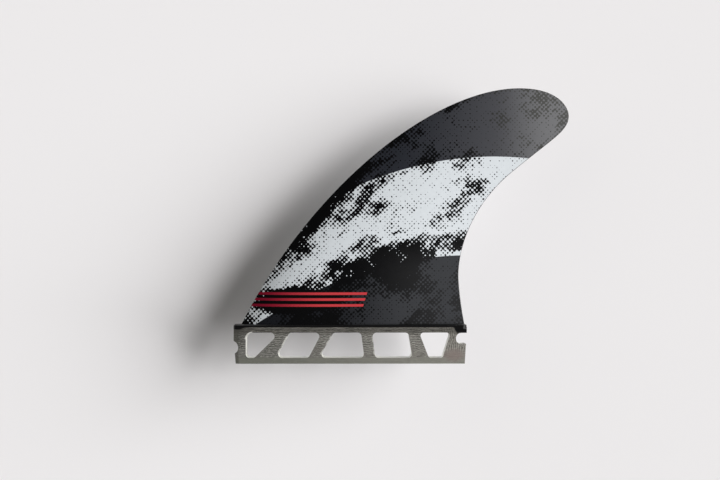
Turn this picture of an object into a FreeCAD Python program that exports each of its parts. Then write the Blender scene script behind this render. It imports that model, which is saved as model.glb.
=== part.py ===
"""Surfboard side fin: one moulded piece made of a foiled blade, a base flange and an open-windowed mounting tab.

Frame: X runs along the board from the leading edge (-X) to the trailing edge (+X), +Z is the span away from the board and
Y is the thickness. The foiled outer face looks to -Y and the flat inner face to +Y. The origin is at the middle of the
tab's length and thickness, on the plane of the flange's underside, where the fin meets the board.
"""

import FreeCAD, Part
import os

import Sketcher

Vector = FreeCAD.Vector
Rule = Sketcher.Constraint

# Driving sizes in millimetres, angles in degrees. Everything else follows from these.
SIZES = {
    # base
    "base_length": 114.3,
    "base_height": 19.05,
    "flange_thick": 2.1,
    "flange_width": 9.0,
    "flange_corner": 2.0,
    "flange_round": 0.5,
    "tab_thick": 6.9,
    "front_lean": 1.05,
    "front_lean_start": 6.0,
    "rear_lean": 1.0,
    "rear_lean_start": 1.0,
    "front_bevel_length": 2.6,
    "front_bevel_depth": 1.4,
    # open windows of the tab, between two end posts and four slanted struts, from the front to the rear, along the top
    # rail and along the foot rail; the windows share the length that the posts and struts leave, in these proportions
    "top_rail": 1.75,
    "foot_rail": 2.8,
    "front_post": 6.1,
    "rear_post_top": 7.85,
    "rear_post_foot": 11.85,
    "strut_a_top": 4.5,
    "strut_a_foot": 10.5,
    "strut_b_top": 5.7,
    "strut_b_foot": 5.0,
    "strut_c_top": 5.4,
    "strut_c_foot": 5.35,
    "strut_d_top": 5.2,
    "strut_d_foot": 8.0,
    "window_a_top": 16.9,
    "window_a_foot": 4.1,
    "window_b_top": 15.9,
    "window_b_foot": 16.1,
    "window_c_top": 13.5,
    "window_c_foot": 22.4,
    "window_d_top": 17.8,
    "window_d_foot": 18.3,
    "window_e_top": 15.5,
    "window_e_foot": 6.7,
    "nose_round": 3.5,
    "window_round": 1.9,
    "end_window_round": 1.5,
    # screw notch at the front and locating slot at the rear
    "notch_depth": 2.35,
    "notch_radius": 3.3,
    "notch_drop": 9.1,
    "slot_depth": 5.3,
    "slot_height": 5.5,
    "slot_drop": 1.9,
    # blade outline: each height and each step back is measured from the point before it
    "front_ledge": 2.85,
    "rear_ledge": 0.35,
    "lead_angle": 63.5,
    "lead_reach": 76.0,
    "crown_reach": 43.0,
    "crown_rise": 13.7,
    "crown_setback": 24.5,
    "crown_back_reach": 20.0,
    "tip_rise": 28.0,
    "tip_sweep": 28.5,
    "tip_upper_reach": 4.0,
    "tip_lower_reach": 7.5,
    "turn_rise": 51.0,
    "turn_sweep": 26.3,
    "turn_angle": 39.5,
    "turn_upper_reach": 26.0,
    "turn_lower_reach": 25.0,
    "waist_height": 26.0,
    "waist_inset": 3.45,
    "waist_upper_reach": 14.0,
    "waist_lower_reach": 5.0,
    "trail_angle": 78.0,
    "trail_reach": 9.0,
    # foil
    "root_thick": 7.0,
    "tip_thick": 1.5,
    "taper_power": 1.3,
    "lead_edge": 1.3,
    "trail_edge": 0.9,
    "edge_round": 0.35,
    "foil_overhang": 1.5,
}

doc = FreeCAD.newDocument("surfboard_fin")
sheet = doc.addObject("Spreadsheet::Sheet", "sizes")
for row, (alias, value) in enumerate(SIZES.items(), start=1):
    sheet.set("A%d" % row, alias)
    sheet.set("B%d" % row, str(value))
    sheet.setAlias("B%d" % row, alias)

body = doc.addObject("PartDesign::Body", "fin")
body.Label = "fin"
body.Placement = FreeCAD.Placement(Vector(0, 0, 0), FreeCAD.Rotation())
doc.recompute()


def bound(text):
    """The expression as the document's objects read it: each size's name with the sheet in front."""
    out = ""
    word = ""
    for sign in text + " ":
        if sign.isalnum() or sign in "_.":
            word += sign
            continue
        out += ("sizes." + word if word in SIZES else word) + sign
        word = ""
    return out.strip()


def worth(text):
    """The value of an expression for the sizes as they are now."""
    return float(body.evalExpression(bound(text)))


def spot(pair):
    return Vector(worth(pair[0]), worth(pair[1]), 0)


def new_sketch(name, role, lift=None):
    """A sketch on one of the body's origin planes, raised along its normal by the lift, an expression."""
    sketch = body.newObject("Sketcher::SketchObject", name)
    plane = [item for item in body.Origin.OriginFeatures if item.Role == role][0]
    sketch.AttachmentSupport = [(plane, "")]
    sketch.MapMode = "FlatFace"
    if lift:
        sketch.setExpression(".AttachmentOffset.Base.z", bound(lift))
    return sketch


def drive(sketch, name, text, kind, *where):
    """Adds a dimension bound to an expression."""
    index = sketch.addConstraint(Rule(kind, *where, worth(text)))
    sketch.renameConstraint(index, name)
    sketch.setExpression("Constraints." + name, bound(text))


def pin(sketch, geometry, end, name, pair):
    """Places a point of the sketch by its two coordinates."""
    drive(sketch, name + "_across", pair[0], "DistanceX", -1, 1, geometry, end)
    drive(sketch, name + "_along", pair[1], "DistanceY", -1, 1, geometry, end)


def polygon(sketch, name, corners):
    """A closed loop of straight lines through corners, each a pair of expressions."""
    spots = [spot(pair) for pair in corners]
    lines = []
    for index, place in enumerate(spots):
        lines.append(sketch.addGeometry(Part.LineSegment(place, spots[(index + 1) % len(spots)]), False))
    for index, line in enumerate(lines):
        sketch.addConstraint(Rule("Coincident", line, 2, lines[(index + 1) % len(lines)], 1))
        pin(sketch, line, 1, "%s%d" % (name, index), corners[index])


def spline(sketch, name, poles):
    """A clamped cubic spline whose poles are placed by expressions. It gives the curve's number."""
    spans = len(poles) - 3
    curve = Part.BSplineCurve()
    curve.buildFromPolesMultsKnots(
        [spot(pair) for pair in poles], [4] + [1] * (spans - 1) + [4], [float(knot) for knot in range(spans + 1)], False, 3)
    index = sketch.addGeometry(curve, False)
    sketch.exposeInternalGeometry(index)
    for number, pair in enumerate(poles):
        pin(sketch, index + 1 + number, 3, "%s%d" % (name, number), pair)
    return index


def pad(name, sketch, length, down=False):
    """Adds material to the body, along the sketch's normal or, when down, against it."""
    before = body.Tip.Shape.Volume if body.Tip else 0.0
    feature = body.newObject("PartDesign::Pad", name)
    feature.Profile = sketch
    feature.Length = worth(length)
    feature.setExpression("Length", bound(length))
    feature.Reversed = down
    doc.recompute()
    if feature.Shape.Volume < before + 1:
        raise RuntimeError(name + " adds nothing")
    return feature


def pocket(name, sketch, expected=None):
    """Cuts the sketch through everything, both ways, and checks the volume that it takes."""
    before = body.Tip.Shape.Volume
    feature = body.newObject("PartDesign::Pocket", name)
    feature.Profile = sketch
    feature.Type = "ThroughAll"
    feature.SideType = "Symmetric"
    doc.recompute()
    taken = before - feature.Shape.Volume
    print("%s took %.1f mm3" % (name, taken))
    if taken < 5 or (expected and abs(taken - expected) > 0.02 * expected):
        raise RuntimeError("%s took %.1f mm3 where %s were expected" % (name, taken, expected))
    return feature


def dress(kind, name, size, test, count=None):
    """Rounds or bevels the edges of the body that pass the test, by a size bound to an expression."""
    base = body.Tip
    names = ["Edge%d" % number for number, edge in enumerate(base.Shape.Edges, start=1) if test(edge)]
    if not names or (count and len(names) != count):
        raise RuntimeError("%s found %d edges where %s belong" % (name, len(names), count))
    feature = body.newObject("PartDesign::" + kind, name)
    feature.Base = (base, names)
    measure = "Radius" if kind == "Fillet" else "Size"
    setattr(feature, measure, worth(size))
    feature.setExpression(measure, bound(size))
    doc.recompute()
    if feature.Shape.isNull() or not feature.Shape.isValid():
        raise RuntimeError("%s failed on %d edges" % (name, len(names)))
    return feature


def near(value, wanted):
    return abs(value - wanted) < 0.02


# Flange: the lip that rests on the board around the mounting pocket, with rounded corners and a rounded upper rim.
flange_plan = new_sketch("flange_plan", "XY_Plane")
polygon(flange_plan, "corner", [
    ("-base_length / 2", "-flange_width / 2"),
    ("base_length / 2", "-flange_width / 2"),
    ("base_length / 2", "flange_width / 2"),
    ("-base_length / 2", "flange_width / 2"),
])
pad("flange", flange_plan, "flange_thick")
dress(
    "Fillet", "flange_corners", "min(flange_corner; flange_width * 0.4)",
    lambda edge: near(abs(edge.CenterOfMass.x), worth("base_length / 2"))
    and near(abs(edge.CenterOfMass.y), worth("flange_width / 2")), 4)
dress(
    "Fillet", "flange_rim", "min(flange_round; flange_thick * 0.45)",
    lambda edge: near(edge.BoundBox.ZMin, worth("flange_thick")) and near(edge.BoundBox.ZMax, worth("flange_thick"))
    and near(abs(edge.CenterOfMass.y), worth("flange_width / 2")), 2)

# Tab: the plate that slides into the board's pocket. Seen from below its front corners are bevelled; both of its ends
# are trimmed a little shorter towards the foot.
tab_plan = new_sketch("tab_plan", "XY_Plane", "flange_thick / 2")
polygon(tab_plan, "corner", [
    ("-base_length / 2", "front_bevel_depth - tab_thick / 2"),
    ("-base_length / 2 + front_bevel_length", "-tab_thick / 2"),
    ("base_length / 2", "-tab_thick / 2"),
    ("base_length / 2", "tab_thick / 2"),
    ("-base_length / 2 + front_bevel_length", "tab_thick / 2"),
    ("-base_length / 2", "tab_thick / 2 - front_bevel_depth"),
])
pad("tab", tab_plan, "base_height - flange_thick / 2", down=True)
FOOT = "flange_thick - base_height"
end_trim = new_sketch("end_trim", "XZ_Plane")
polygon(end_trim, "front", [
    ("-base_length / 2", "-front_lean_start"),
    ("-base_length / 2 + front_lean", FOOT),
    ("-base_length / 2 + front_lean", FOOT + " - 2"),
    ("-base_length / 2 - 2", FOOT + " - 2"),
    ("-base_length / 2 - 2", "-front_lean_start"),
])
polygon(end_trim, "rear", [
    ("base_length / 2", "-rear_lean_start"),
    ("base_length / 2 - rear_lean", FOOT),
    ("base_length / 2 - rear_lean", FOOT + " - 2"),
    ("base_length / 2 + 2", FOOT + " - 2"),
    ("base_length / 2 + 2", "-rear_lean_start"),
])
pocket("end_cut", end_trim)

# Windows: four-cornered openings through the tab, between the top rail and the foot rail.
OPEN_TOP = "(base_length - front_post - rear_post_top - strut_a_top - strut_b_top - strut_c_top - strut_d_top)"
OPEN_FOOT = "(base_length - front_post - rear_post_foot - strut_a_foot - strut_b_foot - strut_c_foot - strut_d_foot)"
HIGH = "-top_rail"
LOW = FOOT + " + foot_rail"
LETTERS = "abcde"
SUM_TOP = "(%s)" % " + ".join("window_%s_top" % letter for letter in LETTERS)
SUM_FOOT = "(%s)" % " + ".join("window_%s_foot" % letter for letter in LETTERS)
windows = []
top_at = "-base_length / 2 + front_post"
foot_at = "-base_length / 2 + front_post"
for letter in LETTERS:
    top_end = "%s + window_%s_top * %s / %s" % (top_at, letter, OPEN_TOP, SUM_TOP)
    foot_end = "%s + window_%s_foot * %s / %s" % (foot_at, letter, OPEN_FOOT, SUM_FOOT)
    windows.append([(top_at, HIGH), (top_end, HIGH), (foot_end, LOW), (foot_at, LOW)])
    if letter != LETTERS[-1]:
        top_at = "%s + strut_%s_top" % (top_end, letter)
        foot_at = "%s + strut_%s_foot" % (foot_end, letter)
window_plan = new_sketch("windows", "XZ_Plane")
for number, corners in enumerate(windows):
    polygon(window_plan, "window%d_" % number, corners)
doc.recompute()
window_area = sum(Part.Face(wire).Area for wire in window_plan.Shape.Wires)
pocket("window_cut", window_plan, window_area * worth("tab_thick"))


def standing_at(places):
    """A test for the straight edges across the tab's thickness at the given corners."""
    spots = [spot(pair) for pair in places]

    def test(edge):
        middle = edge.CenterOfMass
        return near(edge.BoundBox.YLength, worth("tab_thick")) and any(
            near(middle.x, place.x) and near(middle.z, place.y) for place in spots)
    return test


dress("Fillet", "nose_corner", "nose_round", standing_at([windows[0][0]]), 1)
dress(
    "Fillet", "window_corners", "window_round",
    standing_at(windows[0][1:] + [pair for corners in windows[1:-1] for pair in corners]), 15)
dress("Fillet", "end_window_corners", "end_window_round", standing_at(windows[-1]), 4)

# Screw notch: a shallow round bite in the front end.
notch_side = new_sketch("notch", "XZ_Plane")
ring = notch_side.addGeometry(Part.Circle(
    spot(("-base_length / 2 + notch_depth - notch_radius", "-notch_drop")), Vector(0, 0, 1), worth("notch_radius")), False)
pin(notch_side, ring, 3, "middle", ("-base_length / 2 + notch_depth - notch_radius", "-notch_drop"))
drive(notch_side, "radius", "notch_radius", "Radius", ring)
pocket("notch_cut", notch_side)

# Locating slot: open at the rear end, with a round inner end.
slot_side = new_sketch("slot", "XZ_Plane")
SLOT = [
    ("base_length / 2 - slot_depth", "-slot_drop"),
    ("base_length / 2 + 5", "-slot_drop"),
    ("base_length / 2 + 5", "-slot_drop - slot_height"),
    ("base_length / 2 - slot_depth", "-slot_drop - slot_height"),
]
polygon(slot_side, "corner", SLOT)
pocket("slot_cut", slot_side)
dress("Fillet", "slot_end", "slot_height * 0.48", standing_at([SLOT[0], SLOT[3]]), 2)

# The blade is a body of its own, whose foot is sunk into the flange and fused with it at the end.
base = body
body = doc.addObject("PartDesign::Body", "blade")
body.Label = "blade"

# Blade outline, seen from the foiled side: five cubic curves from the foot of the leading edge over the crown, round the
# swept tip, under it and down the waisted trailing edge, closed by a level sole inside the flange.
SUNK = "(flange_thick / 2)"
INNER = "(tab_thick / 2)"
ROOT_LEAD = "(front_ledge - base_length / 2)"
ROOT_TRAIL = "(base_length / 2 - rear_ledge)"
WAIST_BACK = "(base_length / 2 - waist_inset)"
TURN_BACK = "(base_length / 2 - waist_inset + turn_sweep)"
TIP_BACK = "(base_length / 2 - waist_inset + turn_sweep + tip_sweep)"
TOP_BACK = "(base_length / 2 - waist_inset + turn_sweep + tip_sweep - crown_setback)"
TURN_HEIGHT = "(waist_height + turn_rise)"
TIP_HEIGHT = "(waist_height + turn_rise + tip_rise)"
TOP_HEIGHT = "(waist_height + turn_rise + tip_rise + crown_rise)"
outline = new_sketch("outline", "XZ_Plane", "-" + INNER)
lead = spline(outline, "lead", [
    (ROOT_LEAD, SUNK),
    (ROOT_LEAD + " + lead_reach * cos(lead_angle)", SUNK + " + lead_reach * sin(lead_angle)"),
    (TOP_BACK + " - crown_reach", TOP_HEIGHT),
    (TOP_BACK, TOP_HEIGHT),
])
crown = spline(outline, "crown", [
    (TOP_BACK, TOP_HEIGHT),
    (TOP_BACK + " + crown_back_reach", TOP_HEIGHT),
    (TIP_BACK, TIP_HEIGHT + " + tip_upper_reach"),
    (TIP_BACK, TIP_HEIGHT),
])
under = spline(outline, "under", [
    (TIP_BACK, TIP_HEIGHT),
    (TIP_BACK, TIP_HEIGHT + " - tip_lower_reach"),
    (TURN_BACK + " + turn_upper_reach * cos(turn_angle)", TURN_HEIGHT + " + turn_upper_reach * sin(turn_angle)"),
    (TURN_BACK, TURN_HEIGHT),
])
back = spline(outline, "back", [
    (TURN_BACK, TURN_HEIGHT),
    (TURN_BACK + " - turn_lower_reach * cos(turn_angle)", TURN_HEIGHT + " - turn_lower_reach * sin(turn_angle)"),
    (WAIST_BACK, "waist_height + waist_upper_reach"),
    (WAIST_BACK, "waist_height"),
])
foot = spline(outline, "foot", [
    (WAIST_BACK, "waist_height"),
    (WAIST_BACK, "waist_height - waist_lower_reach"),
    (ROOT_TRAIL + " - trail_reach * cos(trail_angle)", SUNK + " + trail_reach * sin(trail_angle)"),
    (ROOT_TRAIL, SUNK),
])
sole = outline.addGeometry(Part.LineSegment(spot((ROOT_TRAIL, SUNK)), spot((ROOT_LEAD, SUNK))), False)
pin(outline, sole, 1, "sole_start", (ROOT_TRAIL, SUNK))
pin(outline, sole, 2, "sole_stop", (ROOT_LEAD, SUNK))

# Chords of the foil: level lines between the leading and the trailing edge, whose start and length the foil sections read.
LEVELS = [
    ("low", "(" + SUNK + " + waist_height) / 2", foot, None),
    ("waist", "waist_height", None, WAIST_BACK),
    ("middle", "(waist_height + %s) / 2" % TURN_HEIGHT, back, None),
    ("turn", TURN_HEIGHT, None, TURN_BACK),
    ("high", "(%s + %s) / 2" % (TURN_HEIGHT, TIP_HEIGHT), under, None),
    ("tip", TIP_HEIGHT, None, TIP_BACK),
    ("crown", TIP_HEIGHT + " + crown_rise * 0.6", crown, None),
]


def crossing(curve, level):
    """Where a curve of the outline crosses a level."""
    reach = worth("2 * base_length")
    across = Part.LineSegment(Vector(-reach, level, 0), Vector(reach, level, 0)).toShape()
    return outline.Geometry[curve].toShape().section(across).Vertexes[0].Point.x


for name, level, edge, corner in LEVELS:
    height = worth(level)
    start = crossing(lead, height)
    stop = crossing(edge, height) if corner is None else worth(corner)
    chord = outline.addGeometry(Part.LineSegment(Vector(start, height, 0), Vector(stop, height, 0)), True)
    outline.addConstraint(Rule("Horizontal", chord))
    outline.addConstraint(Rule("PointOnObject", chord, 1, lead))
    drive(outline, name + "_level", level, "DistanceY", -1, 1, chord, 1)
    if corner is None:
        outline.addConstraint(Rule("PointOnObject", chord, 2, edge))
    else:
        drive(outline, name + "_stop", corner, "DistanceX", -1, 1, chord, 2)
    for label, rule in (("from", Rule("DistanceX", -1, 1, chord, 1, start)),
                        ("chord", Rule("DistanceX", chord, 1, chord, 2, stop - start))):
        index = outline.addConstraint(rule)
        outline.renameConstraint(index, name + "_" + label)
        outline.setDriving(index, False)

# The blank runs from the inner face towards -Y, and is thick enough for the foil to cut all of its outer face.
pad("blank", outline, "root_thick * 1.04")

# Foil: the outer face is domed. Each section is what has to go at its level, everything beyond a curve that rises from
# the thin leading edge to the full thickness at about a third of the chord and falls slowly to the trailing edge.
CLEAR = INNER + " - root_thick - 4"


def foil_section(name, level, start, chord, thick):
    """One section of the cutter, from expressions of the chord's start and length and of the thickness there."""
    sketch = new_sketch("foil_" + name, "XY_Plane", level)
    rise = "(%s - lead_edge)" % thick
    fall = "(%s - trail_edge)" % thick
    dome = spline(sketch, "dome", [
        ("%s - foil_overhang" % start, INNER + " - lead_edge + %s * 0.12" % rise),
        ("%s + %s * 0.03" % (start, chord), INNER + " - lead_edge - %s * 0.35" % rise),
        ("%s + %s * 0.12" % (start, chord), INNER + " - lead_edge - %s * 0.98" % rise),
        ("%s + %s * 0.42" % (start, chord), INNER + " - trail_edge - %s * 1.1" % fall),
        ("%s + %s * 0.74" % (start, chord), INNER + " - trail_edge - %s * 0.55" % fall),
        ("%s + %s + foil_overhang" % (start, chord), INNER + " - trail_edge + %s * 0.04" % fall),
    ])
    curve = sketch.Geometry[dome]
    clear = worth(CLEAR)
    corners = [curve.EndPoint, Vector(curve.EndPoint.x, clear, 0), Vector(curve.StartPoint.x, clear, 0), curve.StartPoint]
    lines = [sketch.addGeometry(Part.LineSegment(corners[index], corners[index + 1]), False) for index in range(3)]
    sketch.addConstraint(Rule("Coincident", dome, 2, lines[0], 1))
    sketch.addConstraint(Rule("Coincident", lines[0], 2, lines[1], 1))
    sketch.addConstraint(Rule("Coincident", lines[1], 2, lines[2], 1))
    sketch.addConstraint(Rule("Coincident", lines[2], 2, dome, 1))
    sketch.addConstraint(Rule("Vertical", lines[0]))
    sketch.addConstraint(Rule("Vertical", lines[2]))
    sketch.addConstraint(Rule("Horizontal", lines[1]))
    drive(sketch, "clear", CLEAR, "DistanceY", -1, 1, lines[1], 1)
    return sketch


def thickness_at(level):
    """The full thickness at a level, which tapers from the root to the tip."""
    share = "(((%s) - flange_thick) / (%s - flange_thick))" % (level, TOP_HEIGHT)
    return "(tip_thick + (root_thick - tip_thick) * (1 - pow(%s; taper_power)))" % share


sections = [foil_section("root", SUNK, ROOT_LEAD, "(%s - %s)" % (ROOT_TRAIL, ROOT_LEAD), "root_thick")]
for name, level, edge, corner in LEVELS:
    sections.append(foil_section(
        name, level, "(outline.Constraints.%s_from / 1mm)" % name, "(outline.Constraints.%s_chord / 1mm)" % name,
        thickness_at(level)))
sections.append(foil_section(
    "above", TOP_HEIGHT + " + foil_overhang", "(%s - crown_reach * 0.4)" % TOP_BACK,
    "(%s - %s + crown_reach * 0.4)" % (TIP_BACK, TOP_BACK), "tip_thick"))
doc.recompute()
blank_volume = body.Tip.Shape.Volume
foil = body.newObject("PartDesign::SubtractiveLoft", "foil")
foil.Profile = sections[0]
foil.Sections = sections[1:]
foil.Ruled = False
doc.recompute()
print("blank %.0f mm3, foiled %.0f mm3" % (blank_volume, foil.Shape.Volume))

# Both rims of the blade are lightly rounded.
dress(
    "Fillet", "rim_round", "min(edge_round; trail_edge * 0.38)",
    lambda edge: edge.BoundBox.ZLength > worth("flange_thick"))

# The blade joins the base.
join = base.newObject("PartDesign::Boolean", "join")
join.Type = "Fuse"
join.setObjects([body])
doc.recompute()

# Nothing is written unless every object is sound and the body is one closed solid.
for item in doc.Objects:
    if "Invalid" in item.State or "Error" in item.State:
        raise RuntimeError("%s failed" % item.Label)
shape = base.Shape
if shape.isNull() or not shape.isValid() or len(shape.Solids) != 1:
    raise RuntimeError("the fin isn't one sound solid")
box = shape.optimalBoundingBox()
print("fin %.0f mm3, %d faces, X %.2f..%.2f Y %.2f..%.2f Z %.2f..%.2f" % (
    shape.Volume, len(shape.Faces), box.XMin, box.XMax, box.YMin, box.YMax, box.ZMin, box.ZMax))
os.makedirs("parts", exist_ok=True)
shape.exportStep("parts/fin.step")
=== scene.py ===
"""Looks of the surfboard side fin: a printed glossy blade, a black base flange and a bare glass-fibre tab.

In the material, lengths are in millimetres: across is the frame's X, depth its Y and up its Z. A pair of
numbers is where a soft step starts and where it stops. The stage and the camera are in metres.
"""
from math import cos, pi, radians, sin

import bpy
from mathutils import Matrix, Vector

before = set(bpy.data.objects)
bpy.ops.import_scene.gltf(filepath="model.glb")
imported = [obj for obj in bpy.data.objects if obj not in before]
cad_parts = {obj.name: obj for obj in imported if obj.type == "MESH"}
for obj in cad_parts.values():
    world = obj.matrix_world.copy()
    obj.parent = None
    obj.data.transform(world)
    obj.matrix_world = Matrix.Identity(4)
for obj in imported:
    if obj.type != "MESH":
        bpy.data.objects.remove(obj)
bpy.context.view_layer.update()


scene = bpy.context.scene
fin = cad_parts["fin"]


def grey(level):
    """The linear value of a screen level from 0 to 255."""
    share = level / 255
    return share / 12.92 if share <= 0.04045 else ((share + 0.055) / 1.055) ** 2.4


def tone(red, green, blue):
    """A linear colour from screen levels from 0 to 255."""
    return (grey(red), grey(green), grey(blue), 1.0)


class Web:
    """A material's or world's node tree, with short calls for its usual nodes."""

    def __init__(self, owner):
        owner.use_nodes = True
        self.tree = owner.node_tree
        self.tree.nodes.clear()

    def node(self, kind, **values):
        made = self.tree.nodes.new(kind)
        for name, value in values.items():
            setattr(made, name, value)
        return made

    def feed(self, socket, value):
        """Links a socket to another node's output, or sets it to a plain value."""
        if isinstance(value, bpy.types.NodeSocket):
            self.tree.links.new(value, socket)
        elif value is not None:
            socket.default_value = value

    def math(self, kind, first, second=None):
        made = self.node("ShaderNodeMath", operation=kind)
        self.feed(made.inputs[0], first)
        self.feed(made.inputs[1], second)
        return made.outputs[0]

    def add(self, first, second):
        return self.math("ADD", first, second)

    def sub(self, first, second):
        return self.math("SUBTRACT", first, second)

    def mul(self, first, second):
        return self.math("MULTIPLY", first, second)

    def square(self, value):
        return self.mul(value, value)

    def larger(self, first, second):
        return self.math("MAXIMUM", first, second)

    def smaller(self, first, second):
        return self.math("MINIMUM", first, second)

    def step(self, value, start, stop, low=0.0, high=1.0):
        """A smooth step of a value, from low at start to high at stop."""
        made = self.node("ShaderNodeMapRange", interpolation_type="SMOOTHSTEP")
        for index, item in enumerate((value, start, stop, low, high)):
            self.feed(made.inputs[index], item)
        return made.outputs[0]

    def inside(self, value, low, high, soft):
        """One between two values, with soft ends."""
        above = self.step(value, low - soft, low + soft)
        return self.mul(above, self.step(value, high + soft, high - soft))

    def blend(self, share, first, second):
        """A mix of two colours."""
        made = self.node("ShaderNodeMix", data_type="RGBA")
        self.feed(made.inputs[0], share)
        self.feed(made.inputs[6], first)
        self.feed(made.inputs[7], second)
        return made.outputs[2]

    def lay(self, base, colour, share, strength):
        """A colour laid over another one where share is one, with some of the other showing through."""
        return self.blend(self.mul(share, strength), base, colour)

    def between(self, share, first, second):
        """A mix of two numbers."""
        made = self.node("ShaderNodeMix", data_type="FLOAT")
        self.feed(made.inputs[0], share)
        self.feed(made.inputs[2], first)
        self.feed(made.inputs[3], second)
        return made.outputs[0]

    def join(self, first, second, third):
        made = self.node("ShaderNodeCombineXYZ")
        for index, value in enumerate((first, second, third)):
            self.feed(made.inputs[index], value)
        return made.outputs[0]

    def part(self, vector):
        """The three parts of a vector."""
        made = self.node("ShaderNodeSeparateXYZ")
        self.feed(made.inputs[0], vector)
        return made.outputs

    def noise(self, place, scale, detail=2.0, rough=0.5, warp=0.0):
        made = self.node("ShaderNodeTexNoise")
        self.feed(made.inputs["Vector"], place)
        made.inputs["Scale"].default_value = scale
        made.inputs["Detail"].default_value = detail
        made.inputs["Roughness"].default_value = rough
        made.inputs["Distortion"].default_value = warp
        return made.outputs["Fac"]

    def shift(self, place, by):
        made = self.node("ShaderNodeVectorMath", operation="ADD")
        self.feed(made.inputs[0], place)
        made.inputs[1].default_value = by
        return made.outputs[0]

    def millimetres(self):
        """The object's own coordinates in millimetres."""
        scaled = self.node("ShaderNodeVectorMath", operation="SCALE")
        self.feed(scaled.inputs[0], self.node("ShaderNodeTexCoord").outputs["Object"])
        scaled.inputs["Scale"].default_value = 1000.0
        return scaled.outputs[0]

    def spot(self, across, up, middle_x, middle_z, wide, tall, lean):
        """A soft leaning spot: one at its middle, nothing past its rim. Wide and tall are half its size."""
        x = self.sub(across, middle_x)
        z = self.sub(up, middle_z)
        level, slope = cos(radians(lean)), sin(radians(lean))
        turned_x = self.add(self.mul(x, level), self.mul(z, slope))
        turned_z = self.sub(self.mul(z, level), self.mul(x, slope))
        turned_x = self.mul(turned_x, 1 / wide)
        turned_z = self.mul(turned_z, 1 / tall)
        return self.step(self.add(self.square(turned_x), self.square(turned_z)), 1.0, 0.0)


# Halftone of the blade: clouds of ink on a slanted screen. CELL is the distance between two rows of dots.
CELL = 1.11
DOT_RANGE = 0.46
DOT_SCATTER = 0.30
DOT_EDGE = 0.04
CLOUD_LEAN = 36
CLOUD_STRETCH = 0.62
CLOUD_LARGE = {"scale": 0.050, "detail": 3.0, "rough": 0.5, "warp": 0.5}
CLOUD_LARGE_AT = (31.0, 4.0, 17.0)
CLOUD_FINE = {"scale": 0.16, "detail": 6.0, "rough": 0.72, "warp": 0.3}
CLOUD_FINE_AT = (5.0, 40.0, 2.0)
CLOUD_MIDDLE = 0.497
CLOUD_CONTRAST = 8.0
# Past CLEAR_FROM the light grows slowly, which keeps small dots of ink in the clear places.
CLEAR_FROM = 0.9
CLEAR_SLOPE = 0.12
# Where the clouds open or gather: a spot's middle, half its size, its lean, and the light that it adds.
SPOTS = (
    (30, 58, 46, 13, 36, 0.06),
    (-6, 74, 42, 11, 48, -0.16),
    (28, 36, 46, 10, 16, -0.10),
    (84, 104, 40, 20, 12, 0.06),
    (-30, 14, 26, 8, 0, -0.20),
)
# The inner face takes its clouds from this much further in, so that its layout is another one.
INWARD = (-0.1, 0.1)
INNER_SHIFT = 90.0

# Fields of the print. The light band lies between two arcs, given by their highest points.
ARC_TOP = (72, 84.8)
ARC_FOOT = (58, 36.0)
ARC_FALL = 0.0031
ARC_EDGE = 0.12
# The tip's grey print lightens towards the trailing edge by a painted reflection of the lamp on the right.
TIP_FRONT = tone(38, 40, 46)
TIP_MIDDLE_REFLECTION = tone(84, 84, 88)
TIP_BACK_REFLECTION = tone(118, 118, 120)
TIP_REFLECTION_SPANS = ((20, 104), (70, 104))
# The white band brightens towards the trailing edge by painted light from the lamp on the right.
WHITE = tone(207, 212, 216)
WHITE_BACK_LIT = tone(220, 225, 229)
WHITE_LIGHT_SPAN = (-30, 75)
ROOT_FRONT = tone(22, 23, 27)
ROOT_BACK = tone(56, 57, 60)
ROOT_SHADE = (-14, 34)
STAIN = tone(60, 62, 64)
STAIN_SHARE = 0.10
INK = tone(9, 9, 10)
# The ink is lightened at the tip's trailing corner by a painted reflection.
INK_TIP_REFLECTION = tone(84, 84, 82)
INK_TIP_REFLECTION_PLACE = ((44, 110), (80, 92))
INK_ROOT = tone(38, 38, 39)
INK_ROOT_PLACE = ((0, 50), (46, 26))

# Three plain stripes run in from the leading edge, and end on a slanted line.
STRIPES = (11.55, 14.45, 17.3)
STRIPE_HALF = 0.62
STRIPE_SOFT = 0.14
STRIPE_END = 3.1
STRIPE_SLANT = 0.3
STRIPE_END_EDGE = 0.15
OUTWARD = (-0.35, -0.55)
# The red darkens towards the leading edge by painted shade.
RED_SHADED_FRONT = tone(124, 16, 40)
RED = tone(190, 60, 65)
RED_SHADE = (-46, -8)

# Rims of the blade show the dark laminate. A look is how squarely a face looks sideways: from where to where
# the print sets in, at the leading and at the trailing edge.
BACKWARD = (0.02, 0.12)
LEADING_LOOK = (0.62, 0.86)
TRAILING_LOOK = (0.88, 0.975)
LAMINATE = tone(15, 15, 16)
PRINT_ROUGH = 0.17
PRINT_ROUGH_RANGE = 0.08
RIM_ROUGH = 0.42
BLADE_RELIEF = 0.02

# Flange: plain black moulding. Its black ends just above the tab, reaches down at the front end and hangs as
# a lip over the slot.
FLANGE_DARK = tone(5, 5, 6)
FLANGE_PALE = tone(11, 10, 10)
FLANGE_ROUGH = 0.30
FLANGE_TOP = (2.04, 2.14)
FLANGE_FOOT = 0.95
FRONT_DROP = 1.0
FRONT_DROP_AT = (-50.5, -54.5)
LIP_DROP = 2.95
LIP_DROP_AT = (50.3, 52.6)
BORDER_SOFT = 0.14
LIP_SOFT = 0.60
LIP_SOFT_AT = (50.0, 52.0)

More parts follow.
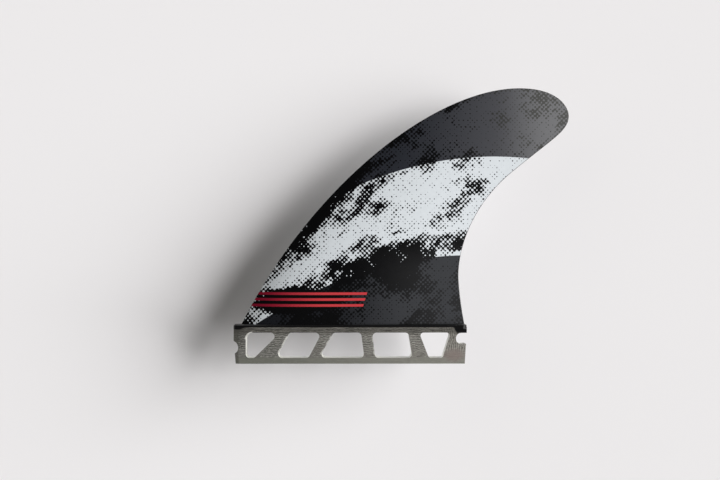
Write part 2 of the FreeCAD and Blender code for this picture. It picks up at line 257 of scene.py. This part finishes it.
# Tab: bare glass fibre, with ribs across the struts and threads that stand up in the rear post.
TAB_SPAN = (-57, 57)
GLASS_FRONT = tone(94, 93, 89)
GLASS_BACK = tone(133, 130, 124)
GLASS_PATCH = tone(96, 92, 86)
GRAIN_PALE = tone(152, 151, 143)
GRAIN_DARK = tone(60, 58, 53)
WAVER = 15.0
RIB_PITCH = 0.86
RIB_FADE = (-13.0, -7.0, 0.45, 1.0)
RIB_DARK = tone(48, 46, 43)
RIB_PALE = tone(178, 177, 170)
THREAD_PITCH = 1.05
THREAD_FADE = (-13.5, -9.0)
THREAD_DARK = tone(56, 53, 49)
THREAD_PALE = tone(174, 171, 162)
STRANDS = {"scale": 1.9, "detail": 4.0, "rough": 0.62, "warp": 0.7}
STRAND_STRETCH = 0.14
GRAIN = {"scale": 1.3, "detail": 4.0, "rough": 0.7, "warp": 0.4}
GRAIN_STRETCH = 0.55
GLASS_ROUGH = 0.46
GLASS_ROUGH_RANGE = 0.2
CUT_ROUGH = 0.6
GLASS_RELIEF = 0.07
FIBRE_RELIEF = 0.16
BROWN = tone(124, 112, 107)
BROWN_SPOT = (51, -13, 7, 4.5, 0)
FOOT_RAIL = (-13.5, -14.3)
FOOT_FRONT = tone(101, 102, 94)
FOOT_BACK = tone(129, 128, 120)
FOOT_STRAND = tone(82, 82, 74)
# Under the flange the tab is darkened by painted shade.
TOP_RAIL = (-3.0, -1.7)
UNDER_FLANGE_SHADE = tone(44, 43, 39)
UNDER_FLANGE_SHADE_LIGHT = tone(90, 87, 81)
CORNER_PLACE = ((-46, -54), (-11, -5))
CORNER_DARK = tone(40, 38, 35)
REAR_POST = (43.6, 45.4)
REAR_LEAN = 0.12
REAR_LEAN_FROM = -8.0

# Windows: where the front side of three of them lies at its top and foot, and the first one's rounded front
# corner. Along these a pale highlight is painted on the arris. Then the looks of the bevel and of the cut
# walls.
WINDOW_TOP = -1.75
WINDOW_TALL = 12.4
WINDOW_FRONTS = ((-29.66, -36.46), (-8.07, -15.38), (10.82, 12.34))
WINDOW_CORNER = (-47.55, -5.25)
CORNER_RING = (3.55, 4.05)
CORNER_QUARTER = ((-47.4, -48.4), (-5.4, -4.4))
ARRIS_BAND = (-0.52, -0.05)
ARRIS_SPAN = (-12.4, -3.6)
ARRIS_SOFT = 0.15
ARRIS_END_SOFT = 0.4
ARRIS_BREAKS = (0.30, 0.55)
ARRIS_HIGHLIGHT = tone(222, 221, 215)
# The bevel is lightened by painted light. The cut walls are paler fibre with a painted highlight.
BEVEL_LOOK = (0.60, 0.95)
BEVEL_PAINTED_LIGHT = tone(160, 158, 150)
CUT_LOOK = (0.55, 0.35)
CUT_PALE_AND_HIGHLIGHT = tone(212, 212, 206)
OUTER_END = (55.0, 55.6)
OUTER_FOOT = (-16.6, -16.8)


def cloud_tone(web, across, up, side):
    """How much light the clouds let through at a place: none below 0, all above 1."""
    level, slope = cos(radians(CLOUD_LEAN)), sin(radians(CLOUD_LEAN))
    along = web.add(web.mul(across, level), web.mul(up, slope))
    over = web.sub(web.mul(up, level), web.mul(across, slope))
    place = web.join(web.mul(along, CLOUD_STRETCH), side, over)
    large = web.noise(web.shift(place, CLOUD_LARGE_AT), **CLOUD_LARGE)
    fine = web.noise(web.shift(place, CLOUD_FINE_AT), **CLOUD_FINE)
    light = web.mul(web.add(large, fine), 0.50)
    for *where, added in SPOTS:
        light = web.add(light, web.mul(web.spot(across, up, *where), added))
    clear = web.add(0.5, web.mul(web.sub(light, CLOUD_MIDDLE), CLOUD_CONTRAST))
    return web.smaller(clear, web.add(CLEAR_FROM, web.mul(web.sub(clear, CLEAR_FROM), CLEAR_SLOPE)))


def halftone(web, across, up, side):
    """One where ink lies: round dots on a slanted screen that swell and join as the clouds darken."""
    waves = web.mul(
        web.math("SINE", web.mul(across, pi / CELL)),
        web.math("SINE", web.mul(up, pi / CELL)))
    scatter = web.node("ShaderNodeTexWhiteNoise", noise_dimensions="3D")
    column = web.math("FLOOR", web.mul(across, 1 / CELL))
    row = web.math("FLOOR", web.mul(up, 1 / CELL))
    web.feed(scatter.inputs["Vector"], web.join(column, side, row))
    limit = web.add(0.5, web.mul(waves, DOT_RANGE))
    limit = web.add(limit, web.mul(web.sub(scatter.outputs["Value"], 0.5), DOT_SCATTER))
    return web.step(web.sub(limit, cloud_tone(web, across, up, side)), -DOT_EDGE, DOT_EDGE)


def under_arc(web, across, up, middle, height):
    """One below a wide arc, which is highest at middle."""
    fall = web.mul(web.square(web.sub(across, middle)), ARC_FALL)
    return web.step(web.sub(web.sub(height, fall), up), -ARC_EDGE, ARC_EDGE)


def corner_share(web, across, up, place):
    """One where both coordinates are past their steps."""
    return web.mul(web.step(across, *place[0]), web.step(up, *place[1]))


def print_colour(web, place, across, up, facing):
    """The print on the blade's two faces, with the stripes on the outer one, and painted light, shade and
    reflection across them.
    """
    # Tip: dark grey print, lightened towards the trailing edge by a painted reflection.
    tip = web.blend(web.step(across, *TIP_REFLECTION_SPANS[0]), TIP_FRONT, TIP_MIDDLE_REFLECTION)
    tip = web.blend(web.step(across, *TIP_REFLECTION_SPANS[1]), tip, TIP_BACK_REFLECTION)
    # Band: white print, brightened towards the trailing edge by painted light.
    band = web.blend(web.step(across, *WHITE_LIGHT_SPAN), WHITE, WHITE_BACK_LIT)
    root = web.blend(web.step(across, *ROOT_SHADE), ROOT_FRONT, ROOT_BACK)
    field = web.blend(under_arc(web, across, up, *ARC_TOP), tip, band)
    field = web.blend(under_arc(web, across, up, *ARC_FOOT), field, root)
    field = web.lay(field, STAIN, web.noise(place, scale=0.5, detail=3.0), STAIN_SHARE)
    # Ink: lighter in the root, and lighter at the tip's trailing corner by a painted reflection.
    ink = web.blend(corner_share(web, across, up, INK_ROOT_PLACE), INK, INK_ROOT)
    ink = web.blend(corner_share(web, across, up, INK_TIP_REFLECTION_PLACE), ink, INK_TIP_REFLECTION)
    side = web.mul(web.step(facing, *INWARD), INNER_SHIFT)
    printed = web.blend(halftone(web, across, up, side), field, ink)

    stripe = 0.0
    for level in STRIPES:
        stripe = web.larger(stripe, web.inside(up, level - STRIPE_HALF, level + STRIPE_HALF, STRIPE_SOFT))
    end = web.add(STRIPE_END, web.mul(up, STRIPE_SLANT))
    stripe = web.mul(stripe, web.step(web.sub(end, across), -STRIPE_END_EDGE, STRIPE_END_EDGE))
    stripe = web.mul(stripe, web.step(facing, *OUTWARD))
    # The stripes darken towards the leading edge by painted shade.
    return web.blend(stripe, printed, web.blend(web.step(across, *RED_SHADE), RED_SHADED_FRONT, RED))


def arris_highlight_share(web, place, across, up):
    """One along the front arris of some windows and one rounded corner, where a pale highlight is painted,
    with breaks.
    """
    middle = web.math("SQRT", web.add(
        web.square(web.sub(across, WINDOW_CORNER[0])),
        web.square(web.sub(up, WINDOW_CORNER[1]))))
    ring = web.inside(middle, *CORNER_RING, ARRIS_SOFT)
    painted_arris = web.mul(ring, corner_share(web, across, up, CORNER_QUARTER))
    for top_at, foot_at in WINDOW_FRONTS:
        lean = (top_at - foot_at) / WINDOW_TALL
        edge = web.add(web.mul(web.sub(up, WINDOW_TOP), lean), top_at)
        line = web.inside(web.sub(across, edge), *ARRIS_BAND, ARRIS_SOFT)
        painted_arris = web.larger(painted_arris, web.mul(line, web.inside(up, *ARRIS_SPAN, ARRIS_END_SOFT)))
    return web.mul(painted_arris, web.step(web.noise(place, scale=0.35), *ARRIS_BREAKS))


def tab_looks(web, place, across, depth, up, tilt):
    """Colour, roughness and relief of the tab's bare glass fibre."""
    strands = web.noise(web.join(web.mul(across, STRAND_STRETCH), depth, up), **STRANDS)
    grain = web.noise(web.join(web.mul(across, GRAIN_STRETCH), depth, up), **GRAIN)
    patches = web.noise(place, scale=0.13)
    waver = web.mul(web.noise(place, scale=0.42, detail=4.0, rough=0.6), WAVER)
    ribs = web.math("SINE", web.add(web.mul(up, 2 * pi / RIB_PITCH), waver))
    threads = web.math("SINE", web.add(web.mul(across, 2 * pi / THREAD_PITCH), waver))
    foot = web.step(up, *FOOT_RAIL)
    rear = web.step(web.sub(across, web.mul(web.sub(up, REAR_LEAN_FROM), REAR_LEAN)), *REAR_POST)
    standing = web.mul(rear, web.step(up, *THREAD_FADE))
    struts = web.mul(web.sub(1.0, foot), web.sub(1.0, standing))
    struts = web.mul(struts, web.step(up, *RIB_FADE))

    glass = web.blend(web.step(across, *TAB_SPAN), GLASS_FRONT, GLASS_BACK)
    glass = web.lay(glass, GLASS_PATCH, web.step(patches, 0.45, 0.66), 0.45)
    glass = web.lay(glass, GRAIN_PALE, web.step(grain, 0.52, 0.66), 0.60)
    glass = web.lay(glass, GRAIN_DARK, web.step(grain, 0.48, 0.36), 0.60)
    for wave, share, start, stop, strength, colour in (
            (ribs, struts, -0.2, 0.9, 0.78, RIB_DARK),
            (ribs, struts, -0.5, -1.0, 0.50, RIB_PALE),
            (threads, standing, 0.0, 0.9, 0.55, THREAD_DARK),
            (threads, standing, -0.4, -1.0, 0.40, THREAD_PALE)):
        glass = web.lay(glass, colour, web.mul(web.step(wave, start, stop), share), strength)
    brown = web.mul(web.spot(across, up, *BROWN_SPOT), 0.75)
    glass = web.blend(brown, glass, BROWN)

    # The foot rail is smoother and greener. The rail under the flange is darkened by painted shade under the
    # flange, its front corner darker still.
    smooth = web.blend(web.step(across, *TAB_SPAN), FOOT_FRONT, FOOT_BACK)
    smooth = web.lay(smooth, FOOT_STRAND, web.step(strands, 0.56, 0.40), 0.25)
    glass = web.lay(glass, smooth, foot, web.sub(0.85, brown))
    flange_shade = web.blend(web.step(strands, 0.44, 0.58), UNDER_FLANGE_SHADE, UNDER_FLANGE_SHADE_LIGHT)
    glass = web.lay(glass, flange_shade, web.step(up, *TOP_RAIL), 0.66)
    glass = web.lay(glass, CORNER_DARK, corner_share(web, across, up, CORNER_PLACE), 0.42)
    # A pale highlight is painted along the front arris of some windows.
    glass = web.lay(glass, ARRIS_HIGHLIGHT, arris_highlight_share(web, place, across, up), 0.72)

    # Cut walls are pale, those of the windows more than the ends, partly paler cut fibre and partly painted
    # highlight. The bevel of the front end is lightened by painted light against its shade, so it is only a
    # little paler than the faces.
    glass = web.lay(glass, BEVEL_PAINTED_LIGHT, web.inside(tilt, *BEVEL_LOOK, 0.02), 0.22)
    cut = web.step(tilt, *CUT_LOOK)
    outside = web.step(web.math("ABSOLUTE", across), *OUTER_END)
    outside = web.larger(outside, web.step(up, *OUTER_FOOT))
    glass = web.lay(glass, CUT_PALE_AND_HIGHLIGHT, cut, web.between(outside, 0.90, 0.30))

    rough = web.between(cut, web.add(GLASS_ROUGH, web.mul(strands, GLASS_ROUGH_RANGE)), CUT_ROUGH)
    fibres = web.add(web.mul(ribs, struts), web.mul(threads, standing))
    relief = web.mul(web.add(strands, web.mul(fibres, FIBRE_RELIEF)), GLASS_RELIEF)
    return glass, rough, relief


def below_border(web, across, up):
    """One on the tab, below the border of the flange's black."""
    border = web.sub(FLANGE_FOOT, web.mul(web.step(across, *FRONT_DROP_AT), FRONT_DROP))
    border = web.sub(border, web.mul(web.step(across, *LIP_DROP_AT), LIP_DROP))
    soft = web.add(BORDER_SOFT, web.mul(web.step(across, *LIP_SOFT_AT), LIP_SOFT))
    return web.step(web.math("DIVIDE", web.sub(border, up), soft), -1.0, 1.0)


def fin_material():
    """One material for the whole moulding: its parts lie by height and by the way that a face looks."""
    material = bpy.data.materials.new("fin_moulding")
    web = Web(material)
    place = web.millimetres()
    across, depth, up = web.part(place)
    backward, facing, _ = web.part(web.node("ShaderNodeNewGeometry").outputs["True Normal"])
    tilt = web.math("ABSOLUTE", facing)

    # The dark rim is a little wider at the trailing edge, where it lines the printed face.
    trailing = web.step(backward, *BACKWARD)
    limits = [web.between(trailing, front, back) for front, back in zip(LEADING_LOOK, TRAILING_LOOK)]
    flat = web.step(tilt, *limits)
    blade = web.blend(flat, LAMINATE, print_colour(web, place, across, up, facing))
    flange = web.blend(web.noise(place, scale=0.9, detail=3.0), FLANGE_DARK, FLANGE_PALE)
    glass, rough_tab, relief_tab = tab_looks(web, place, across, depth, up, tilt)

    in_tab = below_border(web, across, up)
    above = web.step(up, *FLANGE_TOP)
    colour = web.blend(in_tab, web.blend(above, flange, blade), glass)
    rough_print = web.mul(web.noise(place, scale=0.35, detail=3.0), PRINT_ROUGH_RANGE)
    rough_print = web.add(PRINT_ROUGH, rough_print)
    rough = web.between(above, FLANGE_ROUGH, web.between(flat, RIM_ROUGH, rough_print))
    rough = web.between(in_tab, rough, rough_tab)
    relief_blade = web.mul(web.noise(place, scale=0.22), BLADE_RELIEF)
    relief = web.add(web.mul(relief_tab, in_tab), web.mul(relief_blade, above))

    bump = web.node("ShaderNodeBump")
    bump.inputs["Strength"].default_value = 0.6
    bump.inputs["Distance"].default_value = 0.001
    web.feed(bump.inputs["Height"], relief)
    shader = web.node("ShaderNodeBsdfPrincipled")
    web.feed(shader.inputs["Base Color"], colour)
    web.feed(shader.inputs["Roughness"], rough)
    web.feed(shader.inputs["Normal"], bump.outputs[0])
    shader.inputs["IOR"].default_value = 1.5
    shader.inputs["Specular IOR Level"].default_value = 0.25
    out = web.node("ShaderNodeOutputMaterial")
    web.feed(out.inputs[0], shader.outputs[0])
    return material


moulding = fin_material()
for slot in fin.material_slots:
    slot.material = moulding


# Stage: a pale wall close behind the fin catches its soft shadow, and a pale floor lies below the view.
PALE = tone(236, 234, 235)
BOUNCE = tone(80, 80, 80)
ROOM_DARK = tone(40, 40, 40)
WALL_GAP = 0.040
WALL_TALL = 1.976
FLOOR = -0.088
STAGE_HALF = 3.0
NEAR_DEPTH = (-420, -80)


def seen_rays(web):
    """Two shares: the camera's own rays, and all that show the stage, also by gloss or through glass."""
    rays = web.node("ShaderNodeLightPath").outputs
    straight = rays["Is Camera Ray"]
    bent = web.larger(rays["Is Glossy Ray"], rays["Is Transmission Ray"])
    return straight, web.larger(straight, bent)


def plane(name, depths, heights):
    """A flat sheet of the stage between two depths and heights, which throws no shadow of its own."""
    points = [(x, depths[end], heights[end]) for x, end in (
        (-STAGE_HALF, 0), (STAGE_HALF, 0), (STAGE_HALF, 1), (-STAGE_HALF, 1))]
    mesh = bpy.data.meshes.new(name)
    mesh.from_pydata(points, [], [(0, 1, 2, 3)])
    made = bpy.data.objects.new(name, mesh)
    scene.collection.objects.link(made)
    made.visible_shadow = False
    return made


def stage_paint(name, one_sided):
    """Matt pale paint, which bounces little light back and fades to the room's dark in far reflections."""
    paint = bpy.data.materials.new(name)
    web = Web(paint)
    straight, seen = seen_rays(web)
    depth = web.part(web.millimetres())[1]
    near = web.larger(straight, web.step(depth, *NEAR_DEPTH))
    matt = web.node("ShaderNodeBsdfDiffuse")
    web.feed(matt.inputs[0], web.blend(seen, BOUNCE, web.blend(near, ROOM_DARK, PALE)))
    out = web.node("ShaderNodeOutputMaterial")
    if not one_sided:
        web.feed(out.inputs[0], matt.outputs[0])
        return paint
    mixed = web.node("ShaderNodeMixShader")
    web.feed(mixed.inputs[0], web.node("ShaderNodeNewGeometry").outputs["Backfacing"])
    web.feed(mixed.inputs[1], matt.outputs[0])
    web.feed(mixed.inputs[2], web.node("ShaderNodeBsdfTransparent").outputs[0])
    web.feed(out.inputs[0], mixed.outputs[0])
    return paint


wall = plane("wall", (WALL_GAP, WALL_GAP), (FLOOR, FLOOR + WALL_TALL))
wall.data.materials.append(stage_paint("wall_paint", True))
floor = plane("floor", (-STAGE_HALF, STAGE_HALF), (FLOOR, FLOOR))
floor.data.materials.append(stage_paint("floor_paint", False))


# Light: the lamps and the world together light the outer face at about the level at which a colour shows as
# written.
WARM = (1.0, 0.96, 0.86)
WORLD_LEVEL = 0.02
GLOSS_TURN = 0.45
GLOSS_FADE = (-0.70, -0.10, 0.03, 1.0)


def lamp(name, turn, rise, level, spread, glints=True, colour=(1.0, 1.0, 1.0)):
    """A far lamp, turned from the front to the right and raised, in degrees.

    Its level is the share that it lends a face square to it. Without glints it shows in no gloss.
    """
    across, up = radians(turn), radians(rise)
    towards = Vector((sin(across) * cos(up), -cos(across) * cos(up), sin(up)))
    data = bpy.data.lights.new(name, "SUN")
    data.energy = level * pi
    data.angle = radians(spread)
    data.color = colour
    made = bpy.data.objects.new(name, data)
    made.rotation_euler = towards.to_track_quat("Z", "Y").to_euler()
    made.location = towards
    made.visible_glossy = glints
    scene.collection.objects.link(made)


lamp("key", turn=38, rise=4, level=0.25, spread=20)
lamp("side", turn=58, rise=9, level=1.27, spread=50)
lamp("high_left", turn=-60, rise=30, level=0.14, spread=70, glints=False, colour=WARM)
lamp("low_right", turn=40, rise=-25, level=0.12, spread=44)
lamp("overhead", turn=170, rise=72, level=0.45, spread=24)
lamp("back", turn=206, rise=18, level=0.46, spread=40)


def studio_world():
    """A world that lends little light. It shows pale, but to a gloss it is dark in front and front left."""
    world = bpy.data.worlds.new("studio")
    web = Web(world)
    straight, seen = seen_rays(web)
    lit = web.node("ShaderNodeBackground")
    lit.inputs["Color"].default_value = (1.0, 1.0, 1.0, 1.0)
    lit.inputs["Strength"].default_value = WORLD_LEVEL
    to_right, to_back, _ = web.part(web.node("ShaderNodeTexCoord").outputs["Generated"])
    away = web.add(to_back, web.mul(to_right, GLOSS_TURN))
    shown = web.node("ShaderNodeBackground")
    shown.inputs["Color"].default_value = PALE
    web.feed(shown.inputs["Strength"], web.larger(straight, web.step(away, *GLOSS_FADE)))
    mixed = web.node("ShaderNodeMixShader")
    web.feed(mixed.inputs[0], seen)
    web.feed(mixed.inputs[1], lit.outputs[0])
    web.feed(mixed.inputs[2], shown.outputs[0])
    web.feed(web.node("ShaderNodeOutputWorld").inputs[0], mixed.outputs[0])
    return world


scene.world = studio_world()

# Camera: level, square to the blade, half a metre away.
CAMERA_AT = (0.00492, -0.4930, 0.0436)
CAMERA_ROLL = 0.05
eye = bpy.data.cameras.new("camera")
eye.lens = 50
eye.sensor_width = 36
eye.clip_start = 0.01
camera = bpy.data.objects.new("camera", eye)
camera.location = CAMERA_AT
camera.rotation_euler = (radians(90), radians(CAMERA_ROLL), 0)
scene.collection.objects.link(camera)
scene.camera = camera

scene.view_settings.view_transform = "Standard"
